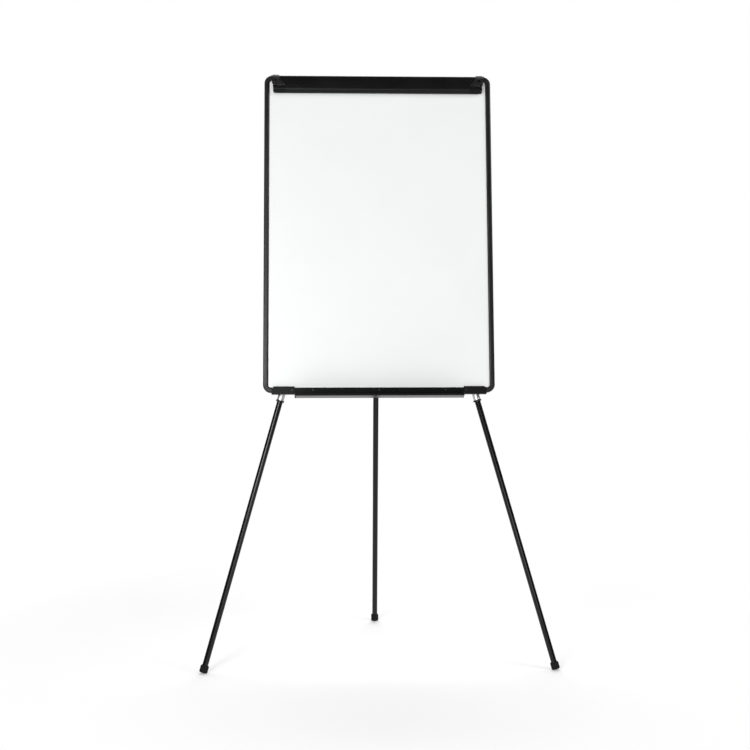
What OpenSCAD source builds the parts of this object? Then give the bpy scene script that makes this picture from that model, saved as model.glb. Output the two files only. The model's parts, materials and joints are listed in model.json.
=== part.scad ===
// Tripod flipchart easel: a framed drywipe board with a sprung pad clamp along its top, a pen tray
// along its bottom and three telescopic legs that hang from a hub behind the board.
// Origin: on the floor, in the middle of the footprint. The board faces -Y and leans back.
// Positions on the board are written as x (right), n (behind the writing face) and s (up the board).

/* [Board] */
// Width of the framed board
board_w = 702; // [680:2:760]
// Height of the framed board, along its own slope
board_l = 987; // [960:1:1000]
// Height of the board's bottom edge above the floor
board_base_z = 826; // [815:1:840]
// Lean of the board from upright
tilt = 9; // [8:0.5:10]
// Thickness of the steel writing sheet
sheet_t = 0.4; // [0.4:0.1:0.6]
// Thickness of the fibreboard core
core_t = 5.2; // [5:0.1:5.2]
// Thickness of the backing sheet
backing_t = 0.4; // [0.3:0.1:0.4]

/* [Frame] */
// Width of the frame bars, seen from the front
bar_w = 16; // [15:0.5:16]
// Height of the frame in front of the writing face
bar_front = 5; // [5:0.1:5.2]
// Depth of the frame behind the writing face
bar_back = 13; // [13:0.5:14]
// Radius of the frame's outer corners
corner_r = 24; // [22:1:26]

/* [Pad clamp] */
// Half length of the clamp's grip lip
lip_half = 323.5; // [315:0.5:326]
// Length of the plastic cap on each end of the grip lip
lip_cap_len = 38.5; // [36:0.5:42]
// Distance of each pad peg from the centre line
peg_x = 145; // [130:5:160]

/* [Pen tray] */
// Half length of the pen tray
tray_half = 252; // [240:0.5:255.5]
// Distance that the tray's lip stands in front of the writing face
tray_reach = 62; // [50:1:70]
// Height of the tray's front lip
tray_lip = 6.7; // [6:0.1:10]

/* [Legs] */
// Distance of each front leg's pivot from the centre line
pivot_x = 37.6; // [37:0.1:40]
// Distance of the front pivots below the top of the board
pivot_drop = 66.5; // [64:0.5:70]
// Distance of the rear pivot below the top of the board
rear_pivot_drop = 94; // [94:0.5:96]
// Distance of the leg axes behind the writing face
leg_n = 30; // [29.8:0.1:30.2]
// Sideways spread of each front leg in the plane of the board
splay = 15.6; // [15:0.1:15.8]
// Angle between the rear leg and the board
rear_spread = 18.2; // [17:0.1:19]
// Outside diameter of the upper tubes
outer_d = 21; // [20.8:0.1:21]
// Outside diameter of the lower tubes
inner_d = 17.6; // [16.6:0.1:17.6]
// Distance from the pivot to the lower end of a front leg's collar
front_tube_end = 982; // [960:1:1000]
// Distance from the pivot to the lower end of the rear leg's collar
rear_tube_end = 920; // [900:1:935]
// Length of the lower tubes
inner_len = 950; // [940:1:980]

/* [Feet] */
// Diameter of the rubber feet
foot_d = 25; // [24:0.5:28]
// Height of the rubber feet
foot_h = 22; // [20:1:26]
// Radius of the worn edge of the rubber feet
foot_edge = 3; // [2:0.5:4]

/* [Hidden] */

$fn = 64;
eps = 0.01;

// board panel and frame section
panel_t = sheet_t + core_t + backing_t;
web_t = 4;                       // outer wall of the frame bars
panel_gap = 0.3;                 // play between the panel's edge and the frame's web
panel_in = web_t + panel_gap;
front_round = 4.5;               // rounding of the bars' front edges
back_round = 1.5;
cavity_to = 13;                  // inner end of the hollow chambers in the bars
cavity_n0 = panel_t + 1.5;
cavity_n1 = bar_back - 1.5;
tongue_len = 16;
tongue_gap = 0.2;
lip_screw_r = 1.5;               // small screws in the frame's front lip
lip_screw_s = 8;
tray_screw_x = 200;

// pad clamp, with t measured down from the top of the board
clamp_n = -11;                   // clamp pivot
clamp_t = 9;
barrel_r = 5.5;
clamp_pin_r = 2;
face_n = -20;                    // front face of the clamp band and brackets
band_turn_t = 18.5;              // where the band's sloping top meets its front face
band_end_t = 34.5;
lip_face_n = -18;                // front face of the grip lip
lip_r = 12.5;                    // curl of the grip lip
lip_turn_t = 43.5;
lip_curl_n = lip_face_n + lip_r;
lip_wall = 2.5;
lip_sweep_r = 27;                // the lip's ends clear the brackets outside this radius
groove_r = 0.9;
strip_end_n = -0.3;
cap_x = lip_half - lip_cap_len;
bracket_x = 330;
bracket_top_x = 303.2;           // inner edge of the bracket at its top
bracket_low_x = 287.5;           // inner edge of the bracket at its bottom
bracket_turn_t = 15;
bracket_end_t = 34;
end_play = 0.6;
bracket_screw_x = 314.5;
bracket_screw_t = 20;
bracket_screw_r = 1.6;
spring_wire_r = 0.45;
spring_r = 2.8;
spring_turns = 5;
spring_pitch = 1.8;

// pad pegs
rail_t = 27;
rail_half = 240;
rail_h = 12;
rail_d = 4;
peg_r = 3.5;
peg_reach = 13;

// pen tray
tray_wall = 2;
tray_back_n = -bar_front;
tray_floor_front = -13.4;        // underside of the tray at its front and back edges
tray_floor_back = -16.4;
tray_top_s = 14.5;
tray_round = 4;                  // rounding at the foot of the lip
tray_wall_n = tray_back_n - tray_wall;
tray_lip_n = -tray_reach + tray_round;
tray_lip_s = tray_floor_front + tray_round;
tray_cap_t = 2.3;
tray_wall_half = 255.5;           // half length of the tray's back wall, which reaches the leg guides
function tray_floor(n) = tray_floor_back
    + (tray_floor_front - tray_floor_back) * (tray_back_n - n) / (tray_back_n - tray_lip_n);

// leg guides
guide_in = 256;
guide_out = 325;
guide_low = -5;
guide_high = 19;
guide_face = 2.5;
guide_clear = 0.3;
guide_block_in = 280;
guide_block_out = 314;
guide_block_n = 45;
guide_block_low = 3;
guide_screw_x = 263;

// hub
front_pivot_s = board_l - pivot_drop;
rear_pivot_s = board_l - rear_pivot_drop;
hub_plate_t = 3;
hub_n = panel_t + hub_plate_t;
bolt_r = 4;
bore_play = 0.06;
eye_half = 5.9;                  // half thickness of a front knuckle
eye_r = 10;
eye_gap = 0.1;
rear_eye_half = 10.3;
ear_in = 10.6;
ear_out = 15.6;
ear_r = 11;
boss_r = 11;
cover_t = 3;
cover_n = leg_n + eye_half + eye_gap;
hub_screw_x = 68;
hub_screw_r = 2;
heel_top = 13;
heel_front = 8;

// legs, with distances measured down from the pivot
outer_r = outer_d / 2;
outer_bore_r = outer_r - 1;
inner_r = inner_d / 2;
inner_bore_r = inner_r - 1.2;
tube_start = 18;
flange_t = 2.5;
head_plug = 35;
collar_t = 5;
collar_r = 12.5;
bush_len = 30;
bush_play = 0.08;
foot_r = foot_d / 2;
foot_floor = 4;                  // rubber below the end of the tube
plug_len = 28;
plug_gap = 4;
spindle_r = 3;

// attitude of the legs: cosine and sine of their lean from upright
front_cos = cos(tilt) * cos(splay);
front_sin = sqrt(1 - front_cos * front_cos);
rear_lean = rear_spread - tilt;
function pivot_z(s) = board_base_z + s * cos(tilt) - leg_n * sin(tilt);
function end_z(sine, cosine) = (foot_r - foot_edge) * sine + foot_edge * (1 - cosine);
front_len = (pivot_z(front_pivot_s) - end_z(front_sin, front_cos)) / front_cos;
rear_len = (pivot_z(rear_pivot_s) - end_z(sin(rear_lean), cos(rear_lean))) / cos(rear_lean);

// the feet set how far the board stands from the middle of the footprint
function foot_half(slope) = (foot_r - foot_edge) * sqrt(1 - slope * slope) + foot_edge;
front_slope = sin(tilt) * cos(splay);
front_foot_y = front_pivot_s * sin(tilt) + leg_n * cos(tilt) - (front_len - foot_edge) * front_slope
    - foot_half(front_slope);
rear_foot_y = rear_pivot_s * sin(tilt) + leg_n * cos(tilt) + (rear_len - foot_edge) * sin(rear_lean)
    + foot_half(sin(rear_lean));
board_y = -(front_foot_y + rear_foot_y) / 2;

frame_black = [0.10, 0.10, 0.11];
dark_grey = [0.17, 0.17, 0.18];
steel = [0.70, 0.71, 0.73];
chrome = [0.82, 0.83, 0.85];
board_white = [0.96, 0.96, 0.96];
core_brown = [0.62, 0.50, 0.36];

// ---- placing ----

module on_board() translate([0, board_y, board_base_z]) rotate([-tilt, 0, 0]) children();
module on_top() on_board() translate([0, 0, board_l]) children();
module side(sign) mirror([sign < 0 ? 1 : 0, 0, 0]) children();
module front_leg(sign) on_board() translate([sign * pivot_x, leg_n, front_pivot_s])
    rotate([0, -sign * splay, 0]) children();
module rear_leg() on_board() translate([0, leg_n, rear_pivot_s]) rotate([rear_spread, 0, 0]) children();

// an outline in x and s, between two depths
module slab(n0, n1) translate([0, n1, 0]) rotate([90, 0, 0]) linear_extrude(n1 - n0) children();
// an outline in n and s, between two places along x
module along_x(x0, x1) translate([x0, 0, 0]) rotate([90, 0, 90]) linear_extrude(x1 - x0) children();
// a round piece along n or along x
module rod_n(r, n0, n1) translate([0, n0, 0]) rotate([-90, 0, 0]) cylinder(r = r, h = n1 - n0);
module rod_x(r, x0, x1) translate([x0, 0, 0]) rotate([0, 90, 0]) cylinder(r = r, h = x1 - x0);
// a round piece down the leg
module down(r, d0, d1) translate([0, 0, -d1]) cylinder(r = r, h = d1 - d0);

module rounded_rect(x0, y0, x1, y1, r) {
    translate([x0 + r, y0]) square([x1 - x0 - 2 * r, y1 - y0]);
    translate([x0, y0 + r]) square([x1 - x0, y1 - y0 - 2 * r]);
    for (x = [x0 + r, x1 - r], y = [y0 + r, y1 - r]) translate([x, y]) circle(r = r);
}

// ---- board panel ----

module panel_outline(inset) rounded_rect(-board_w / 2 + inset, inset, board_w / 2 - inset,
    board_l - inset, corner_r - inset);

module bracket_screw_holes(n0, n1)
    for (sign = [-1, 1]) translate([sign * bracket_screw_x, 0, board_l - bracket_screw_t])
        rod_n(bracket_screw_r, n0, n1);

module at_hub_screws()
    for (x = [-hub_screw_x, hub_screw_x], s = [rear_pivot_s - 8, front_pivot_s + 26])
        translate([x, 0, s]) children();

module writing_sheet() color(board_white) on_board() difference() {
    slab(0, sheet_t) panel_outline(panel_in);
    bracket_screw_holes(-1, sheet_t + 1);
}

module board_core() color(core_brown) on_board() difference() {
    slab(sheet_t, sheet_t + core_t) panel_outline(panel_in);
    bracket_screw_holes(-1, 4.5);
    at_hub_screws() rod_n(hub_screw_r, 1.5, panel_t);
}

module backing_sheet() color(steel) on_board() difference() {
    slab(sheet_t + core_t, panel_t) panel_outline(panel_in);
    at_hub_screws() rod_n(hub_screw_r, sheet_t, panel_t + 1);
}

// ---- frame ----

// bar section: u inward from the outer edge, n towards the back
module bar_outline() {
    rounded_rect(0, -bar_front, bar_w, bar_front, front_round);
    rounded_rect(0, -2, bar_w, bar_back, back_round);
}

module panel_groove() translate([web_t, 0]) square([bar_w, panel_t]);

module bar_section() difference() {
    bar_outline();
    panel_groove();
    translate([web_t, cavity_n0]) square([cavity_to - web_t, cavity_n1 - cavity_n0]);
    translate([web_t, 1.5 - bar_front]) square([bar_w - 2 * web_t, bar_front - 3]);
}

module upright_bar() translate([-board_w / 2, 0, corner_r]) linear_extrude(board_l - 2 * corner_r)
    bar_section();

module level_bar() translate([board_w / 2 - corner_r, 0, 0]) rotate([0, -90, 0])
    linear_extrude(board_w - 2 * corner_r) bar_section();

module lip_screw_at(x, n0, r) translate([x, 0, lip_screw_s]) rod_n(r, n0, -0.5);

module frame_left() color(frame_black) on_board() upright_bar();
module frame_right() color(frame_black) on_board() mirror([1, 0, 0]) upright_bar();
module frame_top() color(frame_black) on_top() mirror([0, 0, 1]) level_bar();
module frame_bottom() color(frame_black) on_board() difference() {
    level_bar();
    for (x = [-guide_screw_x, -tray_screw_x, 0, tray_screw_x, guide_screw_x])
        lip_screw_at(x, -bar_front - 1, lip_screw_r);
}

module tongue() translate([web_t + tongue_gap, cavity_n0 + tongue_gap, 0])
    cube([cavity_to - web_t - 2 * tongue_gap, cavity_n1 - cavity_n0 - 2 * tongue_gap, tongue_len]);

// bottom left corner: a quarter ring with a tongue into each bar
module corner() {
    translate([-board_w / 2 + corner_r, 0, corner_r]) rotate([-90, 0, 0]) rotate([0, 0, 90])
        rotate_extrude(angle = 90) translate([corner_r, 0]) mirror([1, 0]) difference() {
            bar_outline();
            panel_groove();
        }
    translate([-board_w / 2, 0, corner_r]) tongue();
    translate([-board_w / 2 + corner_r + tongue_len, 0, 0]) rotate([0, -90, 0]) tongue();
}

module corner_bottom_left() color(frame_black) on_board() corner();
module corner_bottom_right() color(frame_black) on_board() mirror([1, 0, 0]) corner();
module corner_top_left() color(frame_black) on_top() mirror([0, 0, 1]) corner();
module corner_top_right() color(frame_black) on_top() mirror([1, 0, 0]) mirror([0, 0, 1]) corner();

// ---- pad clamp; sections are drawn in n and -t ----

module bracket_section() polygon([[-bar_front, -1.5], [-10, -1.5], [-14.5, -4], [face_n, -16],
    [face_n, -bracket_end_t], [-bar_front, -bracket_end_t]]);

module bracket_hollow() polygon([[-bar_front + 1, -3.5], [-10, -3.5], [-13, -5.2], [face_n + 2, -16.4],
    [face_n + 2, -bracket_end_t - 1], [-bar_front + 1, -bracket_end_t - 1]]);

module bracket_face() polygon([[bracket_top_x, 0], [bracket_x, 0], [bracket_x, -12],
    [lip_half + 1, -bracket_end_t - 1], [bracket_low_x, -bracket_end_t - 1],
    [bracket_low_x, -bracket_end_t], [bracket_top_x, -bracket_turn_t]]);

module clamp_bracket() difference() {
    union() {
        intersection() {
            slab(face_n, -bar_front) bracket_face();
            difference() {
                along_x(bracket_low_x - 1, bracket_x) bracket_section();
                along_x(bracket_low_x - 2, lip_half - 3) bracket_hollow();
            }
        }
        // web that carries the pivot pin
        intersection() {
            along_x(bracket_top_x, bracket_top_x + 2) bracket_section();
            slab(face_n, -bar_front) translate([bracket_top_x, -bracket_turn_t]) square([2, 15]);
        }
        // pillar for the screw, down to the writing sheet
        translate([bracket_screw_x, 0, -bracket_screw_t]) rod_n(5.5, face_n + 1, 0);
        // hook over the top of the frame
        along_x(307, 325) rounded_rect(-9, -1.6, 3, 0.8, 1);
    }
    translate([0, clamp_n, -clamp_t]) rod_x(clamp_pin_r, bracket_top_x - 1, lip_half + 2);
    translate([bracket_screw_x, 0, -bracket_screw_t]) rod_n(bracket_screw_r, face_n - 1, 1);
    translate([bracket_screw_x, 0, -bracket_screw_t]) rod_n(4.2, face_n - 1, -10);
    // the frame's rounded top edge
    along_x(306, 326) rotate(-90) bar_outline();
}

module clamp_bracket_left() color(dark_grey) on_top() side(-1) clamp_bracket();
module clamp_bracket_right() color(dark_grey) on_top() side(1) clamp_bracket();

module bracket_screws() color(frame_black) on_top() for (sign = [-1, 1])
    translate([sign * bracket_screw_x, 0, -bracket_screw_t]) difference() {
        union() {
            rod_n(bracket_screw_r, -10, 4.5);
            rod_n(3.6, -12.2, -10);
        }
        for (turn = [0, 90]) rotate([0, turn, 0]) translate([-2.2, -12.3, -0.4]) cube([4.4, 1.3, 0.8]);
    }

module clamp_pivot_pins() color(steel) on_top() for (sign = [-1, 1]) side(sign)
    translate([0, clamp_n, -clamp_t]) rod_x(clamp_pin_r, cap_x, lip_half + 1);

// a coil about x: rings of points along a helix, skinned into one solid
module coil(r, wire_r, pitch, turns) {
    steps = 14;
    ring = 6;
    last = steps * turns;
    points = [for (i = [0:last], j = [0:ring - 1])
        let (a = 360 * i / steps, b = 360 * j / ring, q = r + wire_r * cos(b))
        [pitch * i / steps + wire_r * sin(b), q * cos(a), q * sin(a)]];
    skin = [for (i = [0:last - 1], j = [0:ring - 1])
        let (k = (j + 1) % ring)
        [i * ring + j, (i + 1) * ring + j, (i + 1) * ring + k, i * ring + k]];
    start = [[for (j = [0:ring - 1]) j]];
    finish = [[for (j = [ring - 1:-1:0]) last * ring + j]];
    polyhedron(points, concat(skin, start, finish));
}

module clamp_springs() color(steel) on_top() for (sign = [-1, 1]) side(sign)
    translate([bracket_top_x + 4, clamp_n, -clamp_t])
        coil(spring_r, spring_wire_r, spring_pitch, spring_turns);

module barrel_outline() translate([clamp_n, -clamp_t]) circle(r = barrel_r);

// tangent from the turn of the band to the barrel
turn_n = face_n - clamp_n;
turn_t = band_turn_t - clamp_t;
turn_far = sqrt(turn_n * turn_n + turn_t * turn_t);
tangent_a = atan2(-turn_t, turn_n) - acos(barrel_r / turn_far);
tangent = [clamp_n + barrel_r * cos(tangent_a), -clamp_t + barrel_r * sin(tangent_a)];

module band_section() difference() {
    union() {
        barrel_outline();
        polygon([[clamp_n, -clamp_t], tangent, [face_n, -band_turn_t], [face_n, -band_end_t],
            [lip_face_n + lip_wall, -band_end_t], [lip_face_n + lip_wall, -band_turn_t - 1]]);
    }
    translate([clamp_n, -clamp_t]) circle(r = clamp_pin_r + bore_play);
}

module curl(r) intersection() {
    translate([lip_curl_n, -lip_turn_t]) circle(r = r);
    translate([lip_curl_n - r, -lip_turn_t - r]) square([r, r + eps]);
}

module lip_outline() {
    curl(lip_r);
    translate([lip_face_n, -lip_turn_t]) square([lip_r, lip_turn_t - band_end_t - 0.8]);
}

module lip_grooves() {
    for (t = [38, lip_turn_t]) translate([lip_face_n, -t]) circle(r = groove_r, $fn = 24);
    for (a = [30, 60]) translate([lip_curl_n - lip_r * cos(a), -lip_turn_t - lip_r * sin(a)])
        circle(r = groove_r, $fn = 24);
}

module lip_section() difference() {
    union() {
        lip_outline();
        translate([lip_face_n, -band_end_t - 1]) square([lip_wall, 2]);
    }
    curl(lip_r - lip_wall);
    translate([lip_face_n + lip_wall, -lip_turn_t - eps]) square([lip_r, lip_turn_t - band_end_t + 1]);
    lip_grooves();
    strip_outline();
}

// rubber strip in the tip of the lip
module strip_outline() translate([lip_curl_n - 1, -lip_turn_t - lip_r + 0.8])
    square([strip_end_n - lip_curl_n + 1, 2.4]);

module band_face() for (sign = [-1, 1]) mirror([sign < 0 ? 1 : 0, 0])
    polygon([[-eps, 0], [bracket_top_x - end_play, 0], [bracket_top_x - end_play, -bracket_turn_t],
        [bracket_low_x - end_play, -bracket_end_t], [cap_x, -bracket_end_t - 2.5],
        [-eps, -bracket_end_t - 2.5]]);

module clamp_bar() color(frame_black) on_top() union() {
    intersection() {
        along_x(-bracket_x, bracket_x) band_section();
        slab(-30, 0) band_face();
    }
    along_x(-cap_x, cap_x) lip_section();
}

module lip_cap() difference() {
    intersection() {
        along_x(cap_x, lip_half) difference() {
            lip_outline();
            lip_grooves();
            strip_outline();
        }
        slab(-30, 0) rounded_rect(cap_x - 20, -lip_turn_t - lip_r - 1, lip_half, 0, 6);
    }
    translate([0, clamp_n, -clamp_t]) rod_x(lip_sweep_r, cap_x - 1, lip_half + 1);
    // hollow behind the face, closed at the end
    along_x(cap_x - 1, lip_half - 3) translate([lip_face_n + 3, -lip_turn_t]) square([lip_r, 10]);
    along_x(cap_x - 1, lip_half - 3) curl(lip_r - 3.2);
    // oblong recess for the thumb
    translate([0, lip_face_n, -lip_turn_t + 1.5]) slab(-1, 0.5) difference() {
        rounded_rect(cap_x + 6, -3.6, lip_half - 6, 3.6, 3.5);
        rounded_rect(cap_x + 7, -2.6, lip_half - 7, 2.6, 2.5);
    }
}

module clamp_cap_left() color(dark_grey) on_top() side(-1) lip_cap();
module clamp_cap_right() color(dark_grey) on_top() side(1) lip_cap();
module clamp_grip_strip() color([0.22, 0.22, 0.22]) on_top() along_x(-lip_half + 8, lip_half - 8)
    strip_outline();

// ---- pad pegs ----

module peg_rail() color(dark_grey) on_top() along_x(-rail_half, rail_half) difference() {
    translate([-rail_d, -rail_t - rail_h / 2]) square([rail_d, rail_h]);
    translate([-rail_d + 1, -rail_t - 4.8]) square([2, 9.6]);
    translate([-rail_d - 1, -rail_t - 2.5]) square([2 + eps, 5]);
}

module pad_peg(sign) color(frame_black) on_top() translate([sign * peg_x, 0, -rail_t]) {
    translate([-9, -rail_d + 1.1, -4.6]) cube([18, 1.8, 9.2]);
    rod_n(2.3, -rail_d - 0.2, -rail_d + 1.2);
    rod_n(peg_r + 2.5, -rail_d - 1.4, -rail_d - 0.1);
    rod_n(peg_r, 2 - peg_reach, -rail_d - 1.2);
    translate([0, 2 - peg_reach, 0]) rotate([90, 0, 0]) rotate_extrude() intersection() {
        circle(r = peg_r);
        square([peg_r, 2]);
    }
}

module pad_peg_left() pad_peg(-1);
module pad_peg_right() pad_peg(1);

// ---- pen tray ----

// rounded foot of the tray's lip
module tray_foot(x0, x1, r) along_x(x0, x1) translate([tray_lip_n, tray_lip_s]) circle(r = r);

module tray_trough(x0, x1) difference() {
    union() {
        along_x(x0, x1) polygon([[tray_wall_n, tray_top_s], [tray_back_n, tray_top_s],
            [tray_back_n, tray_floor_back], [tray_lip_n, tray_floor_front],
            [tray_lip_n, tray_floor_front + tray_wall],
            [tray_wall_n - 3, tray_floor_back + tray_wall + 0.2], [tray_wall_n, tray_floor_back + 5]]);
        difference() {
            tray_foot(x0, x1, tray_round);
            along_x(x0 - 1, x1 + 1) translate([tray_lip_n + tray_wall / 4, tray_floor_front - 1])
                square(2 * tray_round);
            along_x(x0 - 1, x1 + 1) translate([-tray_reach - 1, tray_lip_s + tray_round / 2])
                square(2 * tray_round);
        }
        along_x(x0, x1) translate([-tray_reach, tray_lip_s]) square([tray_wall, tray_lip - tray_round]);
    }
    tray_foot(x0 - 1, x1 + 1, tray_round - tray_wall);
    along_x(x0 - 1, x1 + 1) translate([-tray_reach + tray_wall, tray_lip_s]) square(2 * tray_round);
}

module pen_tray() color(frame_black) on_board() difference() {
    union() {
        tray_trough(-tray_half + tray_cap_t, tray_half - tray_cap_t);
        along_x(-tray_wall_half, tray_wall_half) polygon([[tray_wall_n, tray_top_s],
            [tray_back_n, tray_top_s], [tray_back_n, tray_floor_back],
            [tray_wall_n, tray_floor(tray_wall_n)]]);
    }
    for (x = [-tray_screw_x, 0, tray_screw_x]) lip_screw_at(x, -bar_front - 3, lip_screw_r + 0.1);
}

module tray_cap(sign) color(dark_grey) on_board() side(sign) {
    along_x(tray_half - tray_cap_t, tray_half) polygon([[tray_wall_n, tray_floor(tray_wall_n)],
        [tray_lip_n, tray_floor_front], [tray_lip_n, tray_floor_front + tray_lip],
        [tray_wall_n, tray_floor_front + tray_lip]]);
    tray_foot(tray_half - tray_cap_t, tray_half, tray_round);
    along_x(tray_half - tray_cap_t, tray_half) translate([-tray_reach, tray_lip_s])
        square([tray_round, tray_lip - tray_round]);
}

module tray_cap_left() tray_cap(-1);
module tray_cap_right() tray_cap(1);

module tray_screws() color(frame_black) on_board() for (x = [-tray_screw_x, 0, tray_screw_x]) difference() {
    union() {
        lip_screw_at(x, -bar_front - 2, lip_screw_r);
        translate([x, 0, lip_screw_s]) rod_n(3, -bar_front - 3.6, -bar_front - 2);
    }
    for (turn = [0, 90]) translate([x, -bar_front - 3.7, lip_screw_s]) rotate([0, turn, 0])
        translate([-1.8, 0, -0.35]) cube([3.6, 1, 0.7]);
}

// ---- leg guides ----

module leg_guide(sign) color(dark_grey) on_board() side(sign) difference() {
    union() {
        slab(-bar_front - guide_face, -bar_front) polygon([[guide_in, guide_low], [guide_out, guide_low],
            [guide_out, guide_high - 7], [guide_out - 7, guide_high], [guide_in, guide_high]]);
        slab(-bar_front, bar_back) translate([guide_in, guide_low])
            square([guide_out - guide_in, -guide_low]);
        slab(bar_back, guide_block_n) translate([guide_block_in, guide_block_low])
            square([guide_block_out - guide_block_in, guide_high - guide_block_low]);
    }
    // seat of the leg, open towards the middle of the board
    translate([pivot_x, leg_n, front_pivot_s]) rotate([0, -splay, 0]) {
        down(outer_r + guide_clear, front_pivot_s - 60, front_pivot_s + 80);
        translate([-60, -outer_r - guide_clear, -front_pivot_s - 80])
            cube([60, 2 * (outer_r + guide_clear), 140]);
    }
    translate([guide_screw_x, 0, lip_screw_s]) rod_n(lip_screw_r + 0.1, -bar_front - 3, -bar_front + 1);
    translate([guide_screw_x, 0, lip_screw_s]) rod_n(3.2, -bar_front - 3, -bar_front - 1);
}

module leg_guide_left() leg_guide(-1);
module leg_guide_right() leg_guide(1);

module guide_screws() color(frame_black) on_board() for (sign = [-1, 1]) difference() {
    union() {
        lip_screw_at(sign * guide_screw_x, -bar_front - 1, lip_screw_r);
        translate([sign * guide_screw_x, 0, lip_screw_s]) rod_n(3, -bar_front - 2.3, -bar_front - 1);
    }
    for (turn = [0, 90]) translate([sign * guide_screw_x, -bar_front - 2.4, lip_screw_s])
        rotate([0, turn, 0]) translate([-1.8, 0, -0.35]) cube([3.6, 0.9, 0.7]);
}

// ---- hub ----

module at_front_pivots() for (sign = [-1, 1]) translate([sign * pivot_x, 0, front_pivot_s]) children();

module hub_base() color(dark_grey) on_board() difference() {
    union() {
        slab(panel_t, hub_n) rounded_rect(-80, rear_pivot_s - 21, 80, front_pivot_s + 38, 10);
        at_front_pivots() rod_n(boss_r, hub_n - 1, leg_n - eye_half - eye_gap);
        // ears for the rear leg's pin
        for (x = [-ear_out, ear_in]) {
            translate([0, leg_n, rear_pivot_s]) rod_x(ear_r, x, x + ear_out - ear_in);
            translate([x, hub_n - 1, rear_pivot_s - ear_r])
                cube([ear_out - ear_in, leg_n - hub_n + 1, 2 * ear_r]);
        }
        // stop for the rear leg's heel
        translate([-ear_out, hub_n - 1, rear_pivot_s + 4]) cube([2 * ear_out, stop_n - hub_n + 1, 15]);
        // ribs from the bosses to the ears
        for (sign = [-1, 1]) side(sign) translate([ear_out - 1, hub_n - 1, rear_pivot_s + 5])
            cube([pivot_x - ear_out, 7, 5]);
    }
    at_front_pivots() rod_n(bolt_r, hub_n + 1, leg_n);
    translate([0, leg_n, rear_pivot_s]) rod_x(bolt_r, -ear_out - 1, ear_out + 1);
    at_hub_screws() rod_n(hub_screw_r + 0.1, panel_t - 1, hub_n + 1);
}

// the heel of the rear knuckle stands this far behind the writing face when the leg is out
heel_n = leg_n - heel_top * sin(rear_spread) - heel_front * cos(rear_spread);
stop_n = heel_n - 0.2;

module hub_cover() color(steel) on_board() difference() {
    slab(cover_n, cover_n + cover_t)
        rounded_rect(-pivot_x - 14, front_pivot_s - 11.5, pivot_x + 14, front_pivot_s + 13, 10);
    at_front_pivots() rod_n(bolt_r + 0.2, cover_n - 1, cover_n + cover_t + 1);
}

module hub_screws() color(steel) on_board() at_hub_screws() difference() {
    union() {
        rod_n(hub_screw_r, 1.5, hub_n);
        rod_n(4, hub_n, hub_n + 2.2);
    }
    for (turn = [0, 90]) rotate([0, turn, 0]) translate([-2.4, hub_n + 1, -0.4]) cube([4.8, 1.3, 0.8]);
}

module hex_socket(r, depth) translate([0, 0, -depth]) cylinder(r = r, h = depth + 1, $fn = 6);

module front_pivot_bolts() color(steel) on_board() at_front_pivots() difference() {
    union() {
        rod_n(bolt_r, hub_n + 1, cover_n + cover_t);
        rod_n(7, cover_n + cover_t, cover_n + cover_t + 3);
        translate([0, cover_n + cover_t + 3, 0]) rotate([-90, 0, 0])
            cylinder(r1 = 7, r2 = 5.5, h = 1.5);
    }
    translate([0, cover_n + cover_t + 4.5, 0]) rotate([-90, 0, 0]) hex_socket(2.9, 3);
}

module rear_pivot_pin() color(steel) on_board() translate([0, leg_n, rear_pivot_s]) {
    rod_x(bolt_r, -ear_out, ear_out + 4);
    rod_x(6.5, -ear_out - 2.5, -ear_out);
    translate([ear_out, 0, 0]) rotate([0, 90, 0]) difference() {
        cylinder(r = 7, h = 4, $fn = 6);
        translate([0, 0, -1]) cylinder(r = bolt_r, h = 6);
    }
}

// ---- legs; every piece hangs down from the pivot ----

// moulded knuckle that plugs into the top of the upper tube
module knuckle_stem() {
    down(outer_r, tube_start - flange_t, tube_start);
    down(outer_bore_r - 0.05, tube_start - 1, tube_start + head_plug);
}

module front_leg_head() difference() {
    union() {
        rod_n(eye_r, -eye_half, eye_half);
        translate([-7, -eye_half, -tube_start + 0.5]) cube([14, 2 * eye_half, tube_start - 2]);
        knuckle_stem();
    }
    rod_n(bolt_r + bore_play, -eye_half - 1, eye_half + 1);
}

module rear_leg_head_piece() difference() {
    union() {
        rod_x(eye_r, -rear_eye_half, rear_eye_half);
        translate([-rear_eye_half + 2, -6, -tube_start + 0.5])
            cube([2 * rear_eye_half - 4, 12, tube_start - 2]);
        translate([-rear_eye_half, -heel_front, 0]) cube([2 * rear_eye_half, heel_front + 3, heel_top]);
        knuckle_stem();
    }
    rod_x(bolt_r + bore_play, -rear_eye_half - 1, rear_eye_half + 1);
}

module outer_tube(tube_end) difference() {
    down(outer_r, tube_start, tube_end - collar_t);
    down(outer_bore_r, tube_start - 1, tube_end);
}

// flange and bush at the mouth of the upper tube
module tube_collar(tube_end) difference() {
    union() {
        down(outer_bore_r - 0.03, tube_end - collar_t - bush_len, tube_end - collar_t + 1);
        down(collar_r, tube_end - collar_t, tube_end - 1);
        translate([0, 0, -tube_end]) cylinder(r1 = collar_r - 1, r2 = collar_r, h = 1);
    }
    down(inner_r + bush_play, tube_end - collar_t - bush_len - 1, tube_end + 1);
}

// lower tube, whose top stands at distance top from the pivot
module inner_tube(top) difference() {
    down(inner_r, top, top + inner_len);
    down(inner_bore_r, top - 1, top + inner_len + 1);
}

// threaded spindle on the top of the lower tube
module lock_spindle(top) {
    down(inner_bore_r - 0.05, top, top + plug_len);
    down(inner_r, top - 1.5, top);
    down(spindle_r, top - plug_gap - plug_len - 2, top - 1);
    down(spindle_r + 2.5, top - plug_gap - plug_len - 5, top - plug_gap - plug_len - 1);
}

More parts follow.
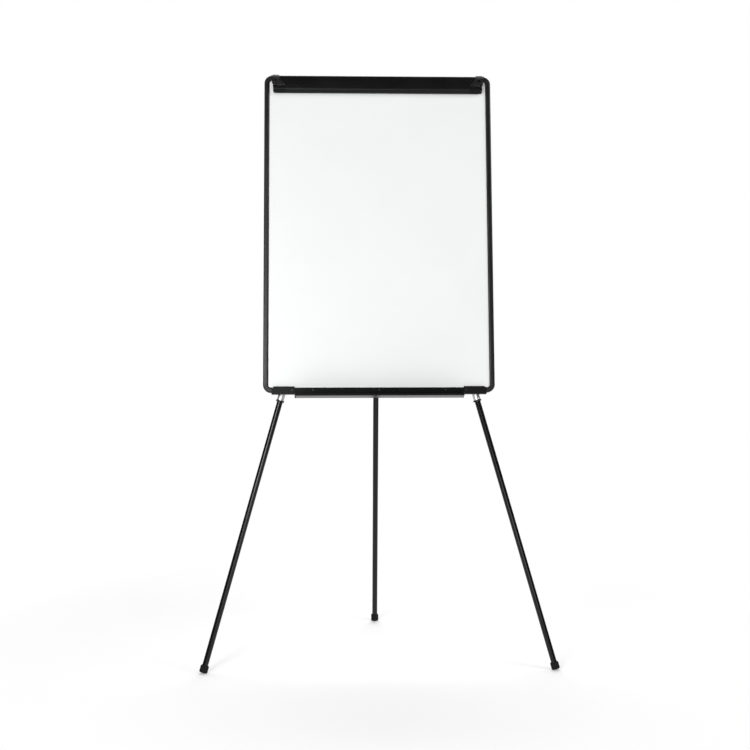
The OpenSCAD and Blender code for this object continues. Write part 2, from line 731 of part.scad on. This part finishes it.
// split plug that the spindle spreads against the upper tube
module lock_plug(top) difference() {
    down(outer_bore_r - 0.08, top - plug_gap - plug_len + 0.5, top - plug_gap + 1);
    down(spindle_r + bush_play, top - plug_gap - plug_len - 1, top);
    for (turn = [0, 60, 120]) rotate([0, 0, turn])
        translate([-outer_r, -0.7, -top + plug_gap - 2]) cube([outer_d, 1.4, plug_len - 8]);
}

// rubber foot, whose end face stands at distance end from the pivot
module foot(end) translate([0, 0, -end]) rotate_extrude() difference() {
    union() {
        translate([0, foot_edge]) square([foot_r, foot_h - foot_edge - 3]);
        square([foot_r - foot_edge, foot_h - 1]);
        translate([foot_r - foot_edge, foot_edge]) circle(r = foot_edge);
        polygon([[0, foot_h - 3.5], [foot_r, foot_h - 3], [foot_r - 2.5, foot_h], [0, foot_h]]);
    }
    translate([-foot_r, -1]) square([foot_r, foot_h + 2]);
    translate([0, foot_floor]) square([inner_r, foot_h]);
}

front_top = front_len - foot_floor - inner_len;
rear_top = rear_len - foot_floor - inner_len;

module left_leg_head() color(frame_black) front_leg(-1) front_leg_head();
module left_outer_tube() color(chrome) front_leg(-1) outer_tube(front_tube_end);
module left_tube_collar() color(frame_black) front_leg(-1) tube_collar(front_tube_end);
module left_lock_plug() color(dark_grey) front_leg(-1) lock_plug(front_top);
module left_lock_spindle() color(steel) front_leg(-1) lock_spindle(front_top);
module left_inner_tube() color(frame_black) front_leg(-1) inner_tube(front_top);
module left_foot() color(frame_black) front_leg(-1) foot(front_len);

module right_leg_head() color(frame_black) front_leg(1) front_leg_head();
module right_outer_tube() color(chrome) front_leg(1) outer_tube(front_tube_end);
module right_tube_collar() color(frame_black) front_leg(1) tube_collar(front_tube_end);
module right_lock_plug() color(dark_grey) front_leg(1) lock_plug(front_top);
module right_lock_spindle() color(steel) front_leg(1) lock_spindle(front_top);
module right_inner_tube() color(frame_black) front_leg(1) inner_tube(front_top);
module right_foot() color(frame_black) front_leg(1) foot(front_len);

module rear_leg_head() color(frame_black) rear_leg() rear_leg_head_piece();
module rear_outer_tube() color(chrome) rear_leg() outer_tube(rear_tube_end);
module rear_tube_collar() color(frame_black) rear_leg() tube_collar(rear_tube_end);
module rear_lock_plug() color(dark_grey) rear_leg() lock_plug(rear_top);
module rear_lock_spindle() color(steel) rear_leg() lock_spindle(rear_top);
module rear_inner_tube() color(frame_black) rear_leg() inner_tube(rear_top);
module rear_foot() color(frame_black) rear_leg() foot(rear_len);

writing_sheet();
board_core();
backing_sheet();
frame_left();
frame_right();
frame_top();
frame_bottom();
corner_top_left();
corner_top_right();
corner_bottom_left();
corner_bottom_right();
clamp_bracket_left();
clamp_bracket_right();
bracket_screws();
clamp_pivot_pins();
clamp_springs();
clamp_bar();
clamp_cap_left();
clamp_cap_right();
clamp_grip_strip();
peg_rail();
pad_peg_left();
pad_peg_right();
pen_tray();
tray_cap_left();
tray_cap_right();
tray_screws();
leg_guide_left();
leg_guide_right();
guide_screws();
hub_base();
hub_cover();
hub_screws();
front_pivot_bolts();
rear_pivot_pin();
left_leg_head();
left_outer_tube();
left_tube_collar();
left_lock_plug();
left_lock_spindle();
left_inner_tube();
left_foot();
right_leg_head();
right_outer_tube();
right_tube_collar();
right_lock_plug();
right_lock_spindle();
right_inner_tube();
right_foot();
rear_leg_head();
rear_outer_tube();
rear_tube_collar();
rear_lock_plug();
rear_lock_spindle();
rear_inner_tube();
rear_foot();
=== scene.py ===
"""Looks for the flipchart easel: finishes, fine detail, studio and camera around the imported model."""

import json
import math

import bpy
from mathutils import Euler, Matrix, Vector

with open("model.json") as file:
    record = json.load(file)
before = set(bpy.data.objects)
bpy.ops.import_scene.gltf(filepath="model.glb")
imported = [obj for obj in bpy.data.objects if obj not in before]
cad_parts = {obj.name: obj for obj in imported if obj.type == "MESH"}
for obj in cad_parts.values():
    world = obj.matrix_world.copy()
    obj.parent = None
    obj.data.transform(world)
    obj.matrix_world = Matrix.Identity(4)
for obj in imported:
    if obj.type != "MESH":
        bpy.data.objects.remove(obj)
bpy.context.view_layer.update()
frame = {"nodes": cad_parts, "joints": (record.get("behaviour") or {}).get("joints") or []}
JOINTS = {joint["name"]: joint for joint in frame["joints"]}

# directions of the object, from its joints
ACROSS = Vector((1, 0, 0))
BOARD_NORMAL = Vector(JOINTS["right_leg_fold"]["axis"])     # from the writing face to the back
BOARD_UP = ACROSS.cross(BOARD_NORMAL)
LEG_AXES = {side: Vector(JOINTS[side + "_leg_slide"]["axis"]) for side in ("left", "right", "rear")}

MM = 0.001


# ---- finishes ----

class Finish:
    """A node material whose patterns run along one direction of its piece."""

    def __init__(self, name, along=ACROSS, metallic=0.0, coat=0.0, coat_roughness=0.1, specular=0.5):
        self.material = bpy.data.materials.new(name)
        self.material.use_nodes = True
        self.nodes = self.material.node_tree.nodes
        self.links = self.material.node_tree.links
        self.shader = self.nodes["Principled BSDF"]
        self.shader.inputs["Metallic"].default_value = metallic
        self.shader.inputs["Specular IOR Level"].default_value = specular
        self.shader.inputs["Coat Weight"].default_value = coat
        self.shader.inputs["Coat Roughness"].default_value = coat_roughness
        self.normal = None
        place = self.nodes.new("ShaderNodeTexCoord")
        turn = self.nodes.new("ShaderNodeMapping")
        turn.inputs["Rotation"].default_value = along.to_track_quat("Z", "Y").inverted().to_euler()
        self.links.new(place.outputs["Object"], turn.inputs["Vector"])
        self.place = turn.outputs["Vector"]

    def scaled(self, size, stretch):
        """The place on the piece, counted in spots of a pattern."""
        scale = self.nodes.new("ShaderNodeVectorMath")
        scale.operation = "MULTIPLY"
        scale.inputs[1].default_value = (1 / size, 1 / size, 1 / (size * stretch))
        self.links.new(self.place, scale.inputs[0])
        return scale.outputs["Vector"]

    def noise(self, size, stretch=1.0, detail=2.0):
        """Soft noise with spots about size across and stretch times as long."""
        noise = self.nodes.new("ShaderNodeTexNoise")
        noise.inputs["Scale"].default_value = 1.0
        noise.inputs["Detail"].default_value = detail
        self.links.new(self.scaled(size, stretch), noise.inputs["Vector"])
        return noise.outputs["Fac"]

    def cells(self, size, stretch=1.0):
        """A random value for each cell of a crystal-like pattern."""
        cells = self.nodes.new("ShaderNodeTexVoronoi")
        cells.inputs["Scale"].default_value = 1.0
        self.links.new(self.scaled(size, stretch), cells.inputs["Vector"])
        split = self.nodes.new("ShaderNodeSeparateColor")
        self.links.new(cells.outputs["Color"], split.inputs["Color"])
        return split.outputs["Red"]

    def spread(self, value, low, high, start=0.3, end=0.7):
        """value from start to end as a number from low to high."""
        spread = self.nodes.new("ShaderNodeMapRange")
        spread.inputs["From Min"].default_value = start
        spread.inputs["From Max"].default_value = end
        spread.inputs["To Min"].default_value = low
        spread.inputs["To Max"].default_value = high
        self.links.new(value, spread.inputs["Value"])
        return spread.outputs["Result"]

    def blend(self, value, first, second):
        """A colour between two colours or colour outputs."""
        mix = self.nodes.new("ShaderNodeMix")
        mix.data_type = "RGBA"
        self.links.new(value, mix.inputs["Factor"])
        for socket, colour in ((mix.inputs[6], first), (mix.inputs[7], second)):
            if isinstance(colour, tuple):
                socket.default_value = (*colour, 1)
            else:
                self.links.new(colour, socket)
        return mix.outputs[2]

    def colour(self, output):
        self.links.new(output, self.shader.inputs["Base Color"])

    def roughness(self, output):
        self.links.new(output, self.shader.inputs["Roughness"])

    def relief(self, value, depth):
        """Raises the surface by up to depth metres where value is 1."""
        bump = self.nodes.new("ShaderNodeBump")
        bump.inputs["Distance"].default_value = depth
        self.links.new(value, bump.inputs["Height"])
        if self.normal:
            self.links.new(self.normal, bump.inputs["Normal"])
        self.normal = bump.outputs["Normal"]
        self.links.new(self.normal, self.shader.inputs["Normal"])


def grey(level, warmth=0.0):
    """A grey, warmer than neutral if warmth is above 0 and cooler below."""
    return (level * (1 + warmth), level, level * (1 - warmth))


def enamel():
    """White lacquered steel sheet: a hard gloss coat with faint wipe marks."""
    finish = Finish("whiteboard_enamel", ACROSS, coat=0.25, coat_roughness=0.08)
    wipes = finish.spread(finish.noise(12 * MM, 9, 4), 0.0, 0.25, 0.3, 0.85)
    clouds = finish.spread(finish.noise(180 * MM), 0.0, 1.0)
    body = finish.blend(clouds, (0.81, 0.829, 0.826), (0.83, 0.842, 0.839))
    finish.colour(finish.blend(wipes, body, (0.8, 0.815, 0.816)))
    finish.roughness(finish.spread(finish.noise(60 * MM, 3, 2), 0.295, 0.33, 0.2, 0.8))
    finish.relief(finish.noise(90 * MM), 0.12 * MM)
    finish.relief(finish.noise(1.6 * MM), 0.003 * MM)
    return finish.material


def fibreboard():
    """Pressed wood fibre."""
    finish = Finish("fibreboard", ACROSS)
    fibres = finish.noise(0.7 * MM, 9, 5)
    finish.colour(finish.blend(fibres, (0.3, 0.2, 0.115), (0.56, 0.42, 0.27)))
    finish.roughness(finish.spread(fibres, 0.95, 0.8))
    finish.relief(fibres, 0.15 * MM)
    return finish.material


def galvanised():
    """Zinc-coated sheet with its crystal spangle."""
    finish = Finish("grey_backing", ACROSS, metallic=0.55)
    spangle = finish.cells(7 * MM, 1.4)
    dust = finish.noise(60 * MM, 1, 5)
    metal = finish.blend(spangle, (0.34, 0.35, 0.36), (0.46, 0.47, 0.48))
    finish.colour(finish.blend(finish.spread(dust, 0, 0.5), metal, (0.37, 0.37, 0.365)))
    finish.roughness(finish.spread(spangle, 0.42, 0.56, 0, 1))
    finish.relief(finish.noise(1.2 * MM, 2), 0.004 * MM)
    return finish.material


def coated_extrusion(name, along, level, rough_low, rough_high, specular):
    """Black coated aluminium, with die lines along the bar under a fine orange peel."""
    finish = Finish(name, along, specular=specular)
    lines = finish.noise(0.9 * MM, 500, 3)
    clouds = finish.noise(35 * MM, 3, 4)
    finish.colour(finish.blend(clouds, grey(level * 0.8), grey(level * 1.25, -0.03)))
    finish.roughness(finish.spread(clouds, rough_low, rough_high))
    finish.relief(lines, 0.006 * MM)
    finish.relief(finish.noise(0.9 * MM, 1, 1), 0.006 * MM)
    return finish.material


def moulded(name, level, rough_low, rough_high, specular=0.35, grain=0.02):
    """Moulded plastic with an eroded grain and slight flow marks."""
    finish = Finish(name, ACROSS, specular=specular)
    flow = finish.noise(16 * MM, 4, 3)
    texture = finish.noise(0.55 * MM, 1, 3)
    finish.colour(finish.blend(flow, grey(level * 0.85), grey(level * 1.2)))
    finish.roughness(finish.spread(texture, rough_low, rough_high))
    finish.relief(texture, grain * MM)
    return finish.material


def rubber(name, level, along=ACROSS, scuff_top=None):
    """Matt rubber with a fine pitted skin, scuffed grey near the ground if scuff_top is given."""
    finish = Finish(name, along, specular=0.2)
    pits = finish.noise(0.8 * MM, 1, 4)
    bloom = finish.noise(9 * MM, 1, 4)
    skin = finish.blend(finish.spread(bloom, 0, 1), grey(level * 0.75), grey(level * 1.5, 0.02))
    if scuff_top is not None:
        split = finish.nodes.new("ShaderNodeSeparateXYZ")
        place = finish.nodes.new("ShaderNodeTexCoord")
        finish.links.new(place.outputs["Object"], split.inputs["Vector"])
        low = finish.spread(split.outputs["Z"], 0.55, 0.0, 0.0, scuff_top)
        patchy = finish.nodes.new("ShaderNodeMath")
        patchy.operation = "MULTIPLY"
        finish.links.new(low, patchy.inputs[0])
        finish.links.new(finish.spread(bloom, 0.1, 1.0, 0.4, 0.65), patchy.inputs[1])
        skin = finish.blend(patchy.outputs["Value"], skin, (0.105, 0.1, 0.092))
    finish.colour(skin)
    finish.roughness(finish.spread(bloom, 0.68, 0.88))
    finish.relief(pits, 0.03 * MM)
    return finish.material


def zinc():
    """Bright zinc-plated steel with a faint blue and yellow passivation."""
    finish = Finish("zinc_steel", ACROSS, metallic=1.0)
    clouds = finish.spread(finish.noise(5 * MM, 1, 3), 0, 1)
    finish.colour(finish.blend(clouds, (0.52, 0.54, 0.58), (0.66, 0.645, 0.6)))
    finish.roughness(finish.spread(finish.noise(1.1 * MM, 3, 3), 0.26, 0.42))
    finish.relief(finish.noise(0.45 * MM, 6, 2), 0.003 * MM)
    return finish.material


def black_zinc():
    """Screws plated black, worn slightly brighter in patches."""
    finish = Finish("black_screw", ACROSS, metallic=0.8)
    wear = finish.spread(finish.noise(1.4 * MM, 1, 4), 0, 1, 0.5, 0.8)
    finish.colour(finish.blend(wear, (0.02, 0.02, 0.022), (0.07, 0.07, 0.075)))
    finish.roughness(finish.spread(wear, 0.45, 0.3, 0, 1))
    finish.relief(finish.noise(0.4 * MM, 1, 2), 0.006 * MM)
    return finish.material


def bright_tube(name, along):
    """Bright plated tube with fine draw lines along it."""
    finish = Finish(name, along, metallic=0.75)
    lines = finish.noise(0.5 * MM, 160, 3)
    marks = finish.noise(14 * MM, 5, 4)
    finish.colour(finish.blend(marks, (0.74, 0.745, 0.76), (0.84, 0.84, 0.845)))
    finish.roughness(finish.spread(marks, 0.3, 0.4))
    finish.relief(lines, 0.004 * MM)
    return finish.material


def powder_tube(name, along):
    """Black powder-coated tube: a fine orange peel with slight rub marks where it slides."""
    finish = Finish(name, along, specular=0.29)
    clouds = finish.noise(22 * MM, 6, 4)
    rubs = finish.spread(finish.noise(1.2 * MM, 90, 3), 0, 0.25, 0.62, 0.8)
    body = finish.blend(clouds, grey(0.003), grey(0.0045, -0.03))
    finish.colour(finish.blend(rubs, body, grey(0.014)))
    finish.roughness(finish.spread(clouds, 0.13, 0.19))
    finish.relief(finish.noise(1.3 * MM, 1.5, 1), 0.0012 * MM)
    return finish.material


def nylon():
    """Natural nylon, slightly translucent."""
    finish = Finish("lock_nylon", ACROSS)
    flow = finish.noise(6 * MM, 3, 3)
    finish.shader.inputs["Subsurface Weight"].default_value = 0.12
    finish.shader.inputs["Subsurface Scale"].default_value = 2 * MM
    finish.colour(finish.blend(flow, (0.66, 0.64, 0.58), (0.78, 0.765, 0.71)))
    finish.roughness(finish.spread(flow, 0.38, 0.5))
    finish.relief(finish.noise(0.5 * MM, 1, 2), 0.008 * MM)
    return finish.material


FRAME_LOOK = (0.0035, 0.3, 0.38, 0.42)      # grey level, lowest and highest roughness, specular
FINISHES = {
    "whiteboard_enamel": enamel(),
    "fibreboard": fibreboard(),
    "grey_backing": galvanised(),
    "black_frame": coated_extrusion("black_frame_across", ACROSS, *FRAME_LOOK),
    "black_corner": moulded("black_corner", 0.006, 0.34, 0.46),
    "bracket_plastic": moulded("bracket_plastic", 0.0055, 0.3, 0.38, specular=0.12),
    "clamp_black": coated_extrusion("clamp_black", ACROSS, 0.0048, 0.26, 0.34, specular=0.2),
    "tray_black": coated_extrusion("tray_black", ACROSS, 0.003, 0.24, 0.3, specular=0.12),
    "zinc_steel": zinc(),
    "black_screw": black_zinc(),
    "soft_rubber": rubber("soft_rubber", 0.016),
    "black_plastic": moulded("black_plastic", 0.0085, 0.4, 0.54, grain=0.025),
    "foot_rubber": rubber("foot_rubber", 0.0048, scuff_top=6 * MM),
    "lock_nylon": nylon(),
}
# painted highlight: the clamp brackets get a lighter, glossier copy of the bracket plastic, standing in
# for the light their faces catch from the left
CLAMP_BRACKET_PAINTED_LIGHT = moulded("clamp_bracket", 0.011, 0.3, 0.38, specular=0.25)
UPRIGHT_BAR = coated_extrusion("black_frame_upright", BOARD_UP, *FRAME_LOOK)
TUBES = {
    (slot, side): make(f"{slot}_{side}", axis)
    for slot, make in (("chrome_tube", bright_tube), ("black_tube", powder_tube))
    for side, axis in LEG_AXES.items()
}


def finish_for(name, slot):
    """The material of a CAD node, with its grain along the piece."""
    side = name.split("_")[0]
    if (slot, side) in TUBES:
        return TUBES[slot, side]
    if name in ("frame_left", "frame_right"):
        return UPRIGHT_BAR
    # the clamp brackets take the lighter copy of the bracket plastic, a painted highlight
    if name.startswith("clamp_bracket"):
        return CLAMP_BRACKET_PAINTED_LIGHT
    return FINISHES[slot]


# ---- softened edges ----

# radius in mm by words in the piece's name, of which the first that fits counts
EDGE_RADIUS = {
    "writing_sheet": 0.08, "frame": 0.3, "corner": 0.35,
    "clamp_bracket": 0.4, "clamp_bar": 0.25, "clamp_cap": 0.35, "clamp_grip": 0.3,
    "peg_rail": 0.3, "pad_peg": 0.25, "pen_tray": 0.3, "tray_cap": 0.3, "leg_guide": 0.45,
    "hub_base": 0.5, "hub_cover": 0.25, "hub_screws": 0.15, "screws": 0.12,
    "front_pivot": 0.25, "rear_pivot": 0.25, "leg_head": 0.4, "tube_collar": 0.3, "foot": 0.5,
}
OTHER_EDGES = 0.15
WELD_DISTANCE = 0.001 * MM
FLAT_ANGLE = math.radians(0.3)      # faces within this angle count as one
SHARP_ANGLE = math.radians(38)      # edges sharper than this are rounded


def weld(piece):
    """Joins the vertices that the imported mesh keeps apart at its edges."""
    piece.modifiers.new("weld", "WELD").merge_threshold = WELD_DISTANCE


def soften(piece, radius):
    """Rounds a piece's sharp edges by radius metres."""
    weld(piece)
    flats = piece.modifiers.new("flats", "DECIMATE")
    flats.decimate_type = "DISSOLVE"
    flats.angle_limit = FLAT_ANGLE
    bevel = piece.modifiers.new("edges", "BEVEL")
    bevel.width = radius
    bevel.segments = 2
    bevel.limit_method = "ANGLE"
    bevel.angle_limit = SHARP_ANGLE
    bevel.use_clamp_overlap = True
    bevel.miter_outer = "MITER_ARC"
    normals = piece.modifiers.new("normals", "WEIGHTED_NORMAL")
    normals.keep_sharp = False


def round_wire(piece):
    """Turns the six-sided wire of a coil into a round one."""
    weld(piece)
    wire = piece.modifiers.new("round", "SUBSURF")
    wire.levels = 1
    wire.render_levels = 1


def edge_radius(name):
    """The radius in metres for the edges of a CAD node."""
    radii = [radius for words, radius in EDGE_RADIUS.items() if words in name]
    return (radii[0] if radii else OTHER_EDGES) * MM


def dress_cad_nodes():
    """Gives each CAD node its finish and its rounded edges."""
    for name, piece in frame["nodes"].items():
        slot = piece.data.materials[0].name.split(".")[0]
        for material_slot in piece.material_slots:
            material_slot.link = "OBJECT"
            material_slot.material = finish_for(name, slot)
        if name == "clamp_springs":
            round_wire(piece)
        else:
            soften(piece, edge_radius(name))


dress_cad_nodes()


# ---- studio ----

# the floor: radii in metres
FLOOR_HOLE = 0.001
LIT_FLOOR = 3.0         # as far as the floor lights the object
FLOOR_END = 40
FADE_START = 0.3        # where the paper starts to fade into the white surroundings
FADE_END = 1.4

BOARD_CENTRE = (0, 0, 1.1)
# name, place, target, width and height in metres, power in watts
SOFTBOXES = (
    ("key_softbox", (-1.4, -3.3, 1.75), BOARD_CENTRE, 1.0, 1.2, 67),
    ("fill_softbox", (3.1, -1.6, 2.9), BOARD_CENTRE, 1.6, 1.4, 44),
    ("low_softbox", (0.3, -4.6, 0.7), (0, 0, 0.8), 3.0, 1.0, 36),
    ("top_softbox", (-2.0, -1.9, 3.5), (0, -0.2, 0.5), 1.6, 1.4, 16),
    ("top_softbox", (2.0, -1.9, 3.5), (0, -0.2, 0.5), 1.6, 1.4, 16),
    ("overhead_softbox", (0, 1.1, 3.6), (0, 0.2, 0), 2.6, 1.4, 75),
    ("back_softbox", (0.4, 3.2, 2.4), BOARD_CENTRE, 2.4, 1.8, 40),
)
BACKGROUND_SEEN = 1.0       # strength of the white that the camera sees
BACKGROUND_LIGHT = 0.06     # strength of the light that it casts


def floor_disc(name, inner, outer, spokes=128, rings=12):
    """A flat ring on the ground between two radii."""
    radii = [inner + (outer - inner) * ring / rings for ring in range(rings + 1)]
    vertices = [(r * math.cos(math.tau * i / spokes), r * math.sin(math.tau * i / spokes), 0)
                for r in radii for i in range(spokes)]
    faces = [(a * spokes + i, (a + 1) * spokes + i, (a + 1) * spokes + j, a * spokes + j)
             for a in range(rings) for i in range(spokes) for j in [(i + 1) % spokes]]
    mesh = bpy.data.meshes.new(name)
    mesh.from_pydata(vertices, [], faces)
    disc = bpy.data.objects.new(name, mesh)
    bpy.context.scene.collection.objects.link(disc)
    return disc


def paper():
    """Pale matt paper that fades into the white surroundings away from the object."""
    finish = Finish("studio_paper", ACROSS)
    fibres = finish.noise(3 * MM, 2, 4)
    finish.colour(finish.blend(fibres, (0.94, 0.94, 0.937), (0.97, 0.97, 0.967)))
    finish.roughness(finish.spread(fibres, 0.85, 0.95))
    place = finish.nodes.new("ShaderNodeTexCoord")
    distance = finish.nodes.new("ShaderNodeVectorMath")
    distance.operation = "LENGTH"
    finish.links.new(place.outputs["Object"], distance.inputs[0])
    glow = finish.spread(distance.outputs["Value"], 0.0, 1.0, FADE_START, FADE_END)
    white = finish.nodes.new("ShaderNodeEmission")
    mix = finish.nodes.new("ShaderNodeMixShader")
    finish.links.new(glow, mix.inputs["Fac"])
    finish.links.new(finish.shader.outputs["BSDF"], mix.inputs[1])
    finish.links.new(white.outputs["Emission"], mix.inputs[2])
    finish.links.new(mix.outputs["Shader"], finish.nodes["Material Output"].inputs["Surface"])
    return finish.material


def softbox(name, place, target, width, height, power):
    """A rectangular studio light facing its target."""
    data = bpy.data.lights.new(name, "AREA")
    data.shape = "RECTANGLE"
    data.size = width
    data.size_y = height
    data.energy = power
    light = bpy.data.objects.new(name, data)
    light.location = place
    light.rotation_euler = (Vector(target) - Vector(place)).to_track_quat("-Z", "Y").to_euler()
    bpy.context.scene.collection.objects.link(light)


def white_surroundings(seen, lighting):
    """A white background, and the much weaker light that it casts."""
    world = bpy.data.worlds.new("studio")
    bpy.context.scene.world = world
    world.use_nodes = True
    nodes, links = world.node_tree.nodes, world.node_tree.links
    cast = nodes["Background"]
    cast.inputs["Color"].default_value = (1, 1, 1, 1)
    cast.inputs["Strength"].default_value = lighting
    shown = nodes.new("ShaderNodeBackground")
    shown.inputs["Color"].default_value = (1, 1, 1, 1)
    shown.inputs["Strength"].default_value = seen
    path = nodes.new("ShaderNodeLightPath")
    mix = nodes.new("ShaderNodeMixShader")
    links.new(path.outputs["Is Camera Ray"], mix.inputs["Fac"])
    links.new(cast.outputs["Background"], mix.inputs[1])
    links.new(shown.outputs["Background"], mix.inputs[2])
    links.new(mix.outputs["Shader"], nodes["World Output"].inputs["Surface"])


def studio():
    """Floor, lights and white surroundings."""
    surface = paper()
    floor_disc("studio_floor", FLOOR_HOLE, LIT_FLOOR).data.materials.append(surface)
    distance = floor_disc("studio_distance", LIT_FLOOR, FLOOR_END)
    distance.data.materials.append(surface)
    distance.visible_diffuse = False
    distance.visible_glossy = False
    for light in SOFTBOXES:
        softbox(*light)
    white_surroundings(BACKGROUND_SEEN, BACKGROUND_LIGHT)
    bpy.context.scene.view_settings.view_transform = "Standard"


# the camera: level with the board, a little left of its middle, looking slightly down
SENSOR_WIDTH = 36       # mm
FOCAL_LENGTH = 52.9     # mm
EYE = (-0.1186, -3.4954, 1.077)
GAZE = Euler((math.radians(86.6), 0, math.radians(-1.82)))


def camera():
    """The camera in front of the board."""
    data = bpy.data.cameras.new("camera")
    data.sensor_width = SENSOR_WIDTH
    data.lens = FOCAL_LENGTH
    eye = bpy.data.objects.new("camera", data)
    eye.location = EYE
    eye.rotation_euler = GAZE
    bpy.context.scene.collection.objects.link(eye)
    bpy.context.scene.camera = eye


studio()
camera()
